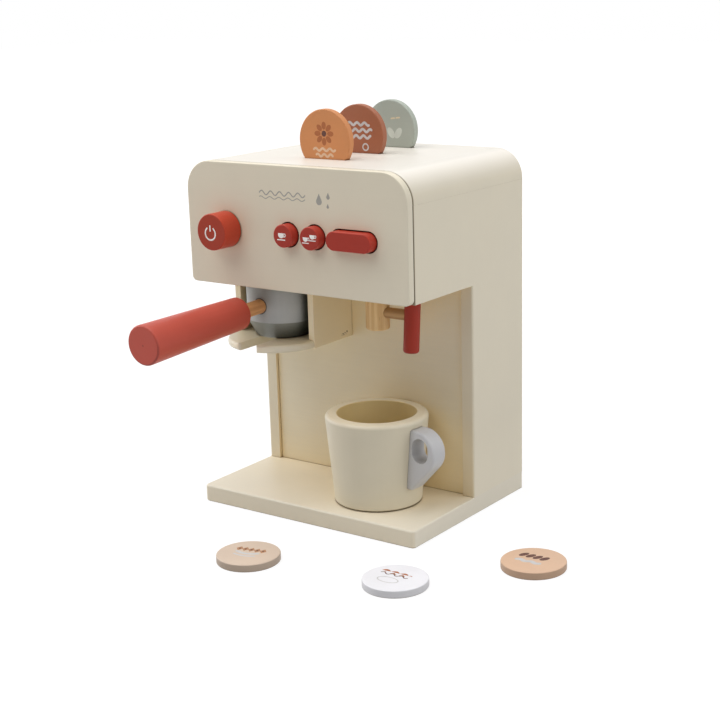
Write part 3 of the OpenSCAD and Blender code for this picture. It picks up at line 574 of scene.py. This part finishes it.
GREEN = painted("green_paint", linear(176, 183, 172), GRAIN_X, roughness=0.5, crevice=0.8)
BEIGE = painted(
    "beige_paint", linear(212, 192, 173), GRAIN_X, roughness=0.5, crevice=0.8, side_shade=0.9
)
WHITE = painted(
    "white_paint", linear(240, 240, 245), GRAIN_X, roughness=0.45, crevice=0.8, side_shade=0.65
)
PEACH = painted(
    "peach_paint", linear(222, 186, 157), GRAIN_X, roughness=0.5, crevice=0.8, side_shade=0.9
)

QUARTER_TURN = math.radians(90)
SPOUT_WOOD = bare_wood(
    "spout_beech", linear(242, 208, 152), linear(204, 156, 96), (-0.030, 0.036, 0), (0, 0, 0)
)
DOWEL_WOOD = bare_wood(
    "dowel_beech", PINE_PALE, PINE_DARK, (0.050, -0.148, 0), (QUARTER_TURN, 0, 0)
)
# The pin's wood is darker: end grain, and painted shade under the head.
PIN_WOOD = bare_wood(
    "pin_beech", linear(196, 154, 104), linear(142, 102, 62), (0.133, 0.031, 0),
    (0, QUARTER_TURN, 0)
)
BOARD_WOOD = bare_wood(
    "board_pine", linear(226, 194, 142), linear(200, 158, 104), (0.21, -0.17, 0),
    (0, QUARTER_TURN, 0), rings=120.0, roughness=0.6
)
SPRING_STEEL = metal("spring_steel", linear(176, 178, 182), 0.3, (900, 900, 900))
# The brad steel is dark as painted shade in the brad's sunk hole.
SHADED_BRAD_STEEL = metal("shaded_brad_steel", linear(74, 66, 54), 0.6, (1500, 1500, 200))
SCREW_STEEL = metal("screw_steel", linear(190, 186, 172), 0.32, (1500, 1500, 200))
INK_WHITE = printed("print_white", linear(250, 248, 244))
INK_GREY = printed("print_grey", linear(166, 163, 156))
INK_CREAM = printed("print_cream", linear(236, 222, 198))
INK_COCOA = printed("print_cocoa", linear(98, 62, 52))
INK_RUST = printed("print_rust", linear(172, 102, 60))
INK_TAN = printed("print_tan", linear(178, 130, 92))
INK_HAZE = printed("print_haze", linear(226, 190, 158))
INK_PALE_SAGE = printed("print_pale_sage", linear(208, 214, 204))
INK_GOLD = printed("print_gold", linear(226, 210, 176))
INK_PEARL = printed("print_pearl", linear(206, 204, 204))
INK_SCUFF = printed("scuffed_paint", linear(128, 110, 80))


# ---------------------------------------------------------------- pieces from CAD nodes

SAME_PLACE = 1e-6
SAME_PLANE = 1e-5
NEARLY_FLAT = math.radians(1.0)
SHARP = math.radians(38.0)

# Widths of the rounded edges. AS_BUILT leaves a node's own edges as they are.
AS_BUILT = 0.0
SEAM = 0.00015
BOARD_EDGE = 0.0004
DOWEL_EDGE = 0.0005
HOLDER_EDGE = 0.0006
GROOVE = 0.0007
HANDLE_EDGE = 0.0012
# Steepest bends, in degrees, that a bevel leaves alone.
BEND = 28.0
CUP_BEND = 20.0


def softened(
    node, material, body, width, segments=3, angle=BEND, groove_y=None, crisp_z=None
):
    """A copy of a CAD node with its sharp edges rounded, which stands for the node.

    With the width AS_BUILT no edge is rounded: the node's own roundings are shaded smooth,
    and sharp edges stay crisp, as do those at the height crisp_z. Edges that lie in the
    plane groove_y are rounded more, which opens a joint there.
    """
    mesh = bpy.data.meshes.new(node + "_look")
    work = bmesh.new()
    work.from_mesh(NODES[node].data)
    bmesh.ops.remove_doubles(work, verts=work.verts, dist=SAME_PLACE)
    bmesh.ops.dissolve_limit(work, angle_limit=NEARLY_FLAT, verts=work.verts, edges=work.edges)
    for face in work.faces:
        face.smooth = True
    if width == AS_BUILT:
        for edge in work.edges:
            crisp = crisp_z is not None and all(
                abs(vert.co.z - crisp_z) < SAME_PLACE for vert in edge.verts
            )
            edge.smooth = edge.calc_face_angle(math.pi) < SHARP and not crisp
    if groove_y is not None:
        weight = work.edges.layers.float.new("bevel_weight_edge")
        for edge in work.edges:
            if edge.calc_face_angle(0.0) > math.radians(angle):
                in_joint = all(abs(vert.co.y - groove_y) < SAME_PLANE for vert in edge.verts)
                edge[weight] = 1.0 if in_joint else width / GROOVE
    work.to_mesh(mesh)
    work.free()
    piece = bpy.data.objects.new(node + "_look", mesh)
    SCENE.collection.objects.link(piece)
    mesh.materials.append(material)
    if width > 0:
        bevel = piece.modifiers.new("soft_edges", "BEVEL")
        bevel.width = width if groove_y is None else GROOVE
        bevel.segments = segments
        bevel.limit_method = "ANGLE" if groove_y is None else "WEIGHT"
        bevel.angle_limit = math.radians(angle)
        bevel.harden_normals = True
        bevel.use_clamp_overlap = True
    weighted = piece.modifiers.new("shading", "WEIGHTED_NORMAL")
    weighted.keep_sharp = True
    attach(piece, body)
    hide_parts(node)
    return piece


def dress(node, material):
    """Gives a CAD node its material."""
    slots = NODES[node].data.materials
    if len(slots) == 0:
        slots.append(material)
    for index in range(len(slots)):
        slots[index] = material


def dress_housing():
    """The boards, the holder, the spout and the screws and brads."""
    for node, material in (
        ("left_side_panel", CREAM_Z), ("right_side_panel", CREAM_Z),
        ("left_corner_moulding", CREAM_TOP), ("right_corner_moulding", CREAM_TOP),
        ("top_board", CREAM_TOP),
    ):
        softened(node, material, "housing", SEAM, groove_y=PANEL_BACK_Y)
    softened("front_panel", CREAM_PANEL, "housing", AS_BUILT)
    softened("base_board", CREAM_BASE, "housing", AS_BUILT, crisp_z=0.0)
    softened("head_floor_board", CREAM_X, "housing", BOARD_EDGE)
    softened("splash_panel", CREAM_BAY, "housing", BOARD_EDGE)
    softened("back_panel", CREAM_X, "housing", BOARD_EDGE)
    softened("holder_left_wall", CREAM_HOLDER, "housing", HOLDER_EDGE)
    softened("holder_right_wall", CREAM_HOLDER, "housing", HOLDER_EDGE)
    softened("holder_fork_plate", CREAM_FORK, "housing", HOLDER_EDGE)
    softened("spring_board", BOARD_WOOD, "housing", BOARD_EDGE)
    softened("hot_water_spout", SPOUT_WOOD, "housing", AS_BUILT)
    dress("base_screws", SCREW_STEEL)
    dress("holder_brads", SHADED_BRAD_STEEL)


def dress_springs():
    """The coil springs, each given a mesh of its own."""
    for node, joint in (
        ("one_cup_spring", "one_cup_button_press"), ("two_cup_spring", "two_cup_button_press"),
        ("long_button_springs", "long_button_press"),
    ):
        spring = softened(node, SPRING_STEEL, "housing", AS_BUILT)
        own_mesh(spring)


def dress_moving():
    """The pieces that a child turns, presses, pulls out or lifts."""
    softened("knob", KNOB_PAINT, "knob", AS_BUILT)
    softened("knob_dowel", DOWEL_WOOD, "knob", DOWEL_EDGE)
    softened("knob_collar", DOWEL_WOOD, "knob", DOWEL_EDGE)
    for node in ("one_cup_button", "two_cup_button", "long_button"):
        softened(node, BUTTON_PAINT, node, AS_BUILT)
    softened(
        "portafilter_cup", CUP_GREY, "portafilter", BOARD_EDGE, angle=CUP_BEND
    )
    softened("grip_dowel", DOWEL_WOOD, "portafilter", BOARD_EDGE)
    softened("portafilter_grip", GRIP_PAINT, "portafilter", AS_BUILT)
    softened("lever", LEVER_PAINT, "lever", AS_BUILT)
    softened("lever_pin", PIN_WOOD, "lever", BOARD_EDGE)
    softened("mug_body", CREAM_MUG, "mug", AS_BUILT)
    softened("mug_handle", HANDLE_GREY, "mug", HANDLE_EDGE, segments=4)
    for colour, material in (
        ("orange", ORANGE), ("brown", BROWN), ("green", GREEN),
        ("beige", BEIGE), ("white", WHITE), ("peach", PEACH),
    ):
        node = colour + "_disc"
        softened(node, material, node, AS_BUILT)


# ---------------------------------------------------------------- printed marks

# A film's half thickness, how far a second layer stands over the first, and how far every
# second shape of one print does, so that shapes that touch don't share a plane.
PRINT_RISE = 0.00003
LAYER_STEP = 0.7 * PRINT_RISE
SHAPE_STEP = 0.2 * PRINT_RISE
# Steps along an arc, round a line's end and along a wave.
ARC_STEPS = 24
CAP_STEPS = 8
WAVE_STEPS = 96


def arc(centre, radius, start, end, steps=ARC_STEPS):
    """Points of an arc, in millimetres, between two angles in degrees."""
    points = []
    for i in range(steps + 1):
        angle = math.radians(start + (end - start) * i / steps)
        points.append((centre[0] + radius * math.cos(angle), centre[1] + radius * math.sin(angle)))
    return points


def turned_points(points, turn, shift=(0.0, 0.0)):
    """Points turned about the origin by degrees, and then shifted."""
    cos_turn, sin_turn = math.cos(math.radians(turn)), math.sin(math.radians(turn))
    return [
        (u * cos_turn - v * sin_turn + shift[0], u * sin_turn + v * cos_turn + shift[1])
        for u, v in points
    ]


def oval(centre, wide, high, turn=0.0, steps=32):
    """A closed oval outline with the given half axes."""
    angles = [2 * math.pi * i / steps for i in range(steps)]
    outline = [(wide * math.cos(angle), high * math.sin(angle)) for angle in angles]
    return turned_points(outline, turn, centre)


def stroke(points, width):
    """The closed outline of a line of even width with round ends."""
    half = width / 2
    left, right = [], []
    count = len(points)
    for i, (u, v) in enumerate(points):
        u0, v0 = points[max(i - 1, 0)]
        u1, v1 = points[min(i + 1, count - 1)]
        length = math.hypot(u1 - u0, v1 - v0)
        normal = (-(v1 - v0) / length, (u1 - u0) / length)
        left.append((u + half * normal[0], v + half * normal[1]))
        right.append((u - half * normal[0], v - half * normal[1]))

    def cap(centre, first):
        start = math.degrees(math.atan2(first[1] - centre[1], first[0] - centre[0]))
        return arc(centre, half, start, start - 180, CAP_STEPS)[1:-1]

    return left + cap(points[-1], left[-1]) + right[::-1] + cap(points[0], right[0])


def on_front(x, y, z):
    """A drawing plane that faces the front: u to the right, v up. Millimetres."""
    return Matrix((
        (1, 0, 0, x * MM), (0, 0, -1, y * MM), (0, 1, 0, z * MM), (0, 0, 0, 1),
    ))


def on_top(x, y, z, turn=0.0):
    """A drawing plane that faces up: u to the right, v to the back, turned about its middle."""
    return Matrix.Translation((x * MM, y * MM, z * MM)) @ Matrix.Rotation(
        math.radians(turn), 4, "Z"
    )


def on_right(x, y, z):
    """A drawing plane that faces right: u to the back, v up. Millimetres."""
    return Matrix((
        (0, 0, 1, x * MM), (1, 0, 0, y * MM), (0, 1, 0, z * MM), (0, 0, 0, 1),
    ))


def print_mark(name, shapes, plane, ink, body, layer=0):
    """A thin printed film on a drawing plane. A shape is an outline with any holes in it."""
    work = bmesh.new()
    for index, outlines in enumerate(shapes):
        curve = bpy.data.curves.new(name, "CURVE")
        curve.dimensions = "2D"
        curve.fill_mode = "BOTH"
        curve.extrude = PRINT_RISE
        for outline in outlines:
            spline = curve.splines.new("POLY")
            spline.points.add(len(outline) - 1)
            for point, (u, v) in zip(spline.points, outline):
                point.co = (u * MM, v * MM, 0.0, 1.0)
            spline.use_cyclic_u = True
        holder = bpy.data.objects.new(name + "_curve", curve)
        SCENE.collection.objects.link(holder)
        part = bpy.data.meshes.new_from_object(
            holder.evaluated_get(bpy.context.evaluated_depsgraph_get())
        )
        rise = layer * LAYER_STEP + (index % 2) * SHAPE_STEP
        part.transform(Matrix.Translation((0, 0, rise)))
        work.from_mesh(part)
        bpy.data.meshes.remove(part)
        bpy.data.objects.remove(holder)
        bpy.data.curves.remove(curve)
    mesh = bpy.data.meshes.new(name)
    work.to_mesh(mesh)
    work.free()
    mesh.transform(plane)
    mesh.materials.append(ink)
    piece = bpy.data.objects.new(name, mesh)
    SCENE.collection.objects.link(piece)
    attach(piece, body)
    return piece


def moved(shapes, shift, size=1.0):
    """Shapes made larger by size and then shifted."""
    return [
        [[(shift[0] + u * size, shift[1] + v * size) for u, v in outline] for outline in shape]
        for shape in shapes
    ]


def cup_shapes():
    """A plain cup on a saucer, about 7 mm wide and 4.5 mm high."""
    bowl = [(-2.3, 2.3), (2.3, 2.3)] + arc((0, 1.4), 2.3, 0, -180, 20)
    handle = stroke(arc((2.5, 1.1), 1.0, 75, -105, 12), 0.6)
    saucer = stroke([(-2.9, -1.9), (2.9, -1.9)], 0.7)
    return [[bowl], [handle], [saucer]]


def wave(start, end, height, amplitude, length, width, phase=0.0):
    """One printed wavy line. length is one wave's."""
    points = []
    for i in range(WAVE_STEPS + 1):
        u = start + (end - start) * i / WAVE_STEPS
        angle = 2 * math.pi * (u - start) / length + phase
        points.append((u, height + amplitude * math.sin(angle)))
    return [stroke(points, width)]


def drop(centre, radius):
    """A drop with its point up."""
    tip = (centre[0], centre[1] + 2.3 * radius)
    return [arc(centre, radius, 150, 390) + [tip]]


def petal(turn, near, far, half):
    """One petal that points away from the origin, between two distances."""
    return [turned_points(oval(((near + far) / 2, 0), (far - near) / 2, half, steps=20), turn)]


# Where the marks are, in millimetres.
KNOB_FACE = (-54.4, -84.6, 194.0)
ONE_CUP_FACE = (-3.5, -75.1, 194.0)
TWO_CUP_FACE = (17.5, -75.1, 194.0)
PANEL_FRONT_Y = -68.5
HOLDER_BRAD = (-11.5, 1.0, 115.7)
SLOTTED_DISC = (-1.0, 249.2)
DISC_FRONTS = {"orange": -31.5, "brown": 5.5, "green": 42.5}
LOOSE_DISCS = {"beige": (8.9, -137.1), "white": (109.1, -121.0), "peach": (165.6, -54.4)}
DISC_THICKNESS = 5.0


def print_controls():
    """A power sign on the knob, and one and two cups on the round buttons."""
    ring = stroke(arc((0, 0), 4.2, 128, 412, 48), 1.0)
    bar = stroke([(0, 1.75), (0, 5.0)], 1.0)
    print_mark(
        "knob_power_print", [[ring], [bar]],
        on_front(KNOB_FACE[0] - 0.7, KNOB_FACE[1], KNOB_FACE[2] - 0.8),
        INK_WHITE, "knob",
    )
    print_mark(
        "one_cup_print", moved(cup_shapes(), (-1.0, -0.4)),
        on_front(*ONE_CUP_FACE), INK_WHITE, "one_cup_button",
    )
    print_mark(
        "two_cup_print",
        moved(cup_shapes(), (-2.7, -1.2), 0.85) + moved(cup_shapes(), (2.7, 0.6), 0.85),
        on_front(*TWO_CUP_FACE), INK_WHITE, "two_cup_button",
    )


def print_front_panel():
    """Two waves and three drops."""
    marks = [
        wave(-26.0, 10.5, 219.6, 1.3, 7.3, 0.75), wave(-26.0, 10.5, 216.6, 0.7, 7.3, 0.5, 0.6),
    ]
    marks += [drop((21.5, 216.6), 2.2), drop((28.6, 219.6), 1.3), drop((28.2, 213.6), 0.9)]
    print_mark(
        "front_wave_print", marks, on_front(0, PANEL_FRONT_Y, 0),
        INK_GREY, "housing",
    )


def scuff_holder():
    """Faint scuffs in the paint beside the brad in the holder's right wall."""
    spots = [
        (-1.9, -0.5, 0.32), (-3.1, -0.2, 0.25), (-4.2, -0.9, 0.45), (-5.6, -0.6, 0.3),
        (-3.6, -1.7, 0.28), (-1.4, -1.5, 0.25), (-5.0, -1.8, 0.24), (-6.4, -1.3, 0.22),
    ]
    shapes = [[oval((u, v), 1.5 * half, half, turn=20, steps=12)] for u, v, half in spots]
    print_mark(
        "holder_scuffs", shapes, on_right(*HOLDER_BRAD), INK_SCUFF, "housing"
    )


def rhombus(centre, wide, high):
    """A lozenge with the given half axes."""
    u, v = centre
    return [[(u - wide, v), (u, v - high), (u + wide, v), (u, v + high)]]


def print_slotted_discs():
    """Generic marks on the discs in the top: a rosette, waves and leaves."""
    x, z = SLOTTED_DISC
    plane = on_front(x, DISC_FRONTS["orange"], z)
    rosette = [petal(45 * k, 2.6, 7.6, 1.7) for k in range(8)]
    print_mark(
        "orange_disc_rosette", moved(rosette, (0, 4.6)), plane,
        INK_RUST, "orange_disc",
    )
    print_mark(
        "orange_disc_dot", [[oval((0, 4.6), 1.9, 1.9)]], plane,
        INK_COCOA, "orange_disc",
    )
    print_mark(
        "orange_disc_waves",
        [wave(-8.5, 8.5, -5.6, 0.8, 5.7, 1.5), wave(-6.5, 6.5, -9.2, 0.8, 5.2, 1.5, 0.4)],
        plane, INK_HAZE, "orange_disc",
    )
    plane = on_front(x, DISC_FRONTS["brown"], z)
    print_mark(
        "brown_disc_waves",
        [wave(-8, 9, 7.4, 0.9, 6.0, 1.7), wave(-9, 11, 3.2, 0.9, 6.0, 1.7, 0.5),
         wave(-8, 10, -1.0, 0.9, 6.0, 1.7, 1.0)],
        plane, INK_PEARL, "brown_disc",
    )
    print_mark(
        "brown_disc_ring", [[oval((6.0, -7.6), 2.6, 2.6), oval((6.0, -7.6), 1.7, 1.7)]],
        plane, INK_PEARL, "brown_disc",
    )
    print_mark(
        "brown_disc_bar", [[stroke([(3.5, -12.6), (9.0, -12.6)], 1.2)]],
        plane, INK_CREAM, "brown_disc",
    )
    plane = on_front(x, DISC_FRONTS["green"], z)
    leaves = [petal(90 + side * 34, 1.2, 9.4, 2.4) for side in (-1, 1)]
    print_mark(
        "green_disc_leaves", moved(leaves, (4.0, -6.5)), plane,
        INK_PALE_SAGE, "green_disc",
    )
    dashes = [[stroke([(u, 7.4 + 0.12 * u), (u + 2.4, 7.7 + 0.12 * u)], 1.1)] for u in (1.5, 5.6)]
    print_mark("green_disc_dashes", dashes, plane, INK_GOLD, "green_disc")


def print_loose_discs():
    """Generic marks on the discs on the table: lozenges, a band and beans."""
    x, y = LOOSE_DISCS["beige"]
    plane = on_top(x, y, DISC_THICKNESS, 12)
    row = [(-8.6 + 4.1 * k, 5.0) for k in range(5)]
    print_mark(
        "beige_disc_rhombi", [rhombus(place, 2.3, 3.2) for place in row], plane,
        INK_TAN, "beige_disc",
    )
    print_mark(
        "beige_disc_dots", [[oval(place, 0.7, 0.9)] for place in row], plane,
        INK_COCOA, "beige_disc", layer=1,
    )
    arcs = [
        [stroke(arc((-1.0, 12.0), 13.6, 238, 302, 20), 2.4)],
        [stroke(arc((-1.0, 12.0), 17.4, 246, 294, 20), 1.4)],
    ]
    print_mark("beige_disc_arcs", arcs, plane, INK_PEARL, "beige_disc")

    x, y = LOOSE_DISCS["white"]
    plane = on_top(x, y, DISC_THICKNESS)
    print_mark(
        "white_disc_band", [wave(-12, 7, 5.6, 1.0, 6.4, 2.6)], plane,
        INK_RUST, "white_disc",
    )
    print_mark(
        "white_disc_line", [wave(-12, 7, 2.6, 1.0, 6.4, 0.7)], plane,
        INK_COCOA, "white_disc",
    )
    print_mark(
        "white_disc_ring", [[oval((-2.0, -5.2), 7.4, 4.0), oval((-2.0, -5.2), 6.6, 3.3)]],
        plane, INK_PEARL, "white_disc",
    )

    x, y = LOOSE_DISCS["peach"]
    plane = on_top(x, y, DISC_THICKNESS)
    beans = []
    for u in (-9.4, -4.6, 0.2, 5.0):
        beans.append([turned_points(oval((0, 0), 3.6, 2.0, steps=24), 62, (u, 4.8))])
    print_mark("peach_disc_beans", beans, plane, INK_COCOA, "peach_disc")
    print_mark(
        "peach_disc_bar", [wave(-9.5, 5.5, -3.6, 0.7, 7.5, 3.2)], plane,
        INK_PEARL, "peach_disc",
    )


# ---------------------------------------------------------------- studio

FLOOR_HALF = 6.0
FLOOR_DROP = 0.0001
FLOOR_BOUNCE = (0.6, 0.6, 0.6, 1.0)
FLOOR_SHADE = (0.20, 0.20, 0.20, 1.0)
FLOOR_GLOW = 0.86
GLOW_REACH = (0.30, 1.1)
PURE_WHITE = (1, 1, 1, 1)
AMBIENT = 0.17
LIGHT_TARGET = (0.0, 0.0, 0.12)
# Name, place, side in metres and power in watts of each square lamp.
SOFTBOXES = (
    ("top_softbox", (0.0, 0.0, 2.4), 1.9, 24.0),
    ("top_left_softbox", (-1.3, -0.5, 2.0), 1.4, 16.6),
    ("top_front_softbox", (-0.3, -1.5, 1.9), 1.3, 11.4),
    ("left_softbox", (-2.2, -0.2, 0.8), 1.4, 16.2),
    ("right_softbox", (2.2, -0.4, 0.9), 1.4, 7.4),
    ("rear_softbox", (1.8, 0.6, 1.2), 1.3, 11.0),
)


def make_floor():
    """A plain pale floor that looks white to the camera and keeps the object's shadow."""
    mesh = bpy.data.meshes.new("studio_floor")
    half = FLOOR_HALF
    mesh.from_pydata(
        [(-half, -half, 0), (half, -half, 0), (half, half, 0), (-half, half, 0)],
        [], [(0, 1, 2, 3)],
    )
    floor = bpy.data.objects.new("studio_floor", mesh)
    SCENE.collection.objects.link(floor)
    floor.location.z = -FLOOR_DROP
    g = Graph(bpy.data.materials.new("studio_floor"))
    away = g.vector("LENGTH", g.place())
    strength = g.spread(away, *GLOW_REACH, FLOOR_GLOW, 1.0, smooth=True)
    pale = g.add("ShaderNodeBsdfDiffuse", {"Color": FLOOR_BOUNCE})
    shade = g.add("ShaderNodeBsdfDiffuse", {"Color": FLOOR_SHADE})
    glow = g.add("ShaderNodeEmission", {"Color": PURE_WHITE, "Strength": strength})
    white = g.add("ShaderNodeAddShader", {0: shade.outputs[0], 1: glow.outputs[0]})
    mixed = g.add("ShaderNodeMixShader", {0: g.seen(), 1: pale.outputs[0], 2: white.outputs[0]})
    mesh.materials.append(g.finish(mixed.outputs[0]))


def make_world():
    """Weak even light on the object, and a white background to the camera."""
    g = Graph(bpy.data.worlds.new("studio"))
    strength = g.spread(g.seen(), 0.0, 1.0, AMBIENT, 1.0)
    glow = g.add("ShaderNodeBackground", {"Color": PURE_WHITE, "Strength": strength})
    SCENE.world = g.finish(glow.outputs[0], "ShaderNodeOutputWorld")


def make_lights():
    """Plain soft studio light from above and from both sides."""
    for name, place, side, power in SOFTBOXES:
        data = bpy.data.lights.new(name, "AREA")
        data.shape = "RECTANGLE"
        data.size = data.size_y = side
        data.energy = power
        light = bpy.data.objects.new(name, data)
        SCENE.collection.objects.link(light)
        light.location = place
        aim = Vector(LIGHT_TARGET) - Vector(place)
        light.rotation_euler = aim.to_track_quat("-Z", "Y").to_euler()


# ---------------------------------------------------------------- all together

make_camera()
make_floor()
make_world()
make_lights()
dress_housing()
dress_springs()
dress_moving()
print_controls()
print_front_panel()
scuff_holder()
print_slotted_discs()
print_loose_discs()

SCENE.view_settings.view_transform = "Standard"
